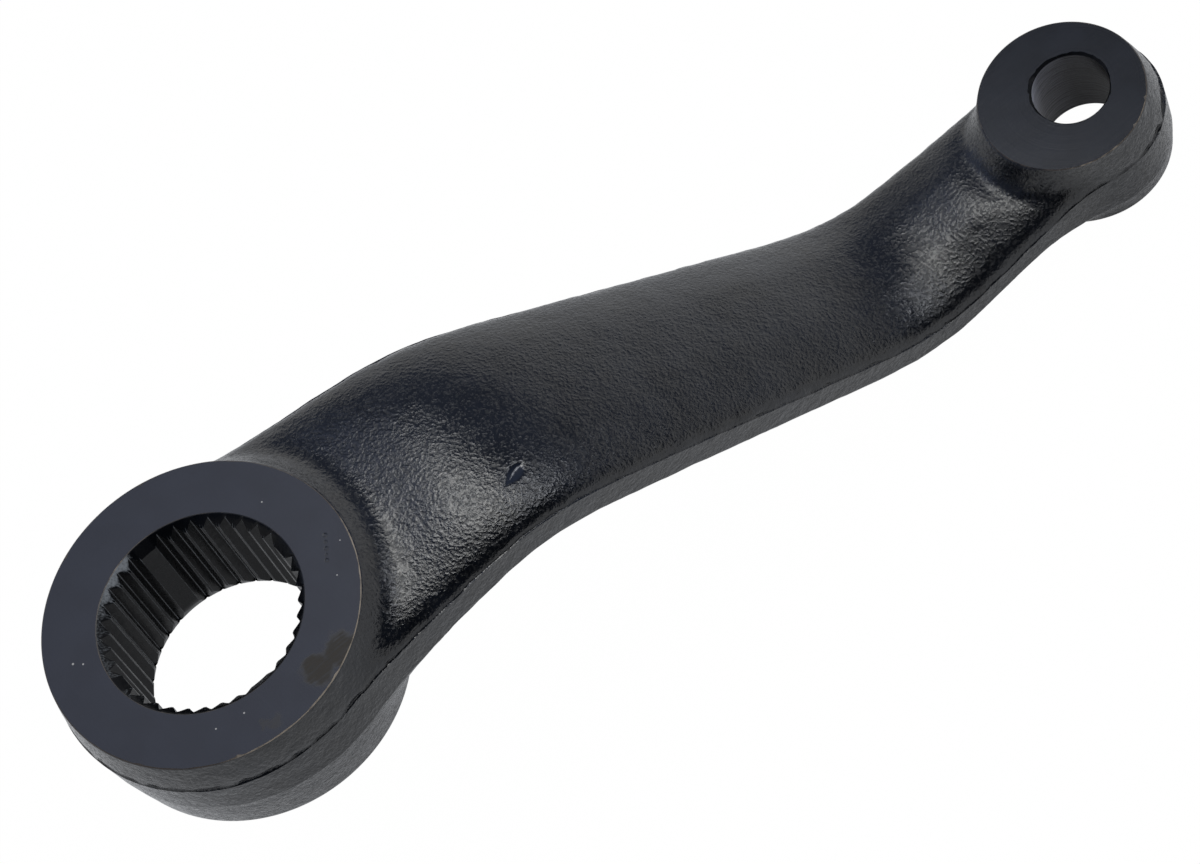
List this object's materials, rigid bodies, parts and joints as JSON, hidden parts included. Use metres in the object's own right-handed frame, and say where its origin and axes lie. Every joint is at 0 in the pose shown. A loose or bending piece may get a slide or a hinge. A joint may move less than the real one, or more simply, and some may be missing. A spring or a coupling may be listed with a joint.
{
  "type": "pitman arm",
  "caption": "Forged steering arm with a serrated splined hub, a dropped tapering arm and an eye with a tapered bore, painted black.",
  "frame": {"origin": "on the axis of the hub's splined bore, in the plane of the hub's top face", "axes": "+Z along both bores, out of the hub's top face; +X toward the eye; +Y completes a right-handed frame across the arm"},
  "size_m": [0.2065, 0.0548, 0.0644],
  "materials": {
    "black_paint": "thin satin black paint over a rough forged skin, smooth on the faced ends"
  },
  "bodies": {
    "root": {"pitman_arm": "black_paint"}
  },
  "joints": []
}
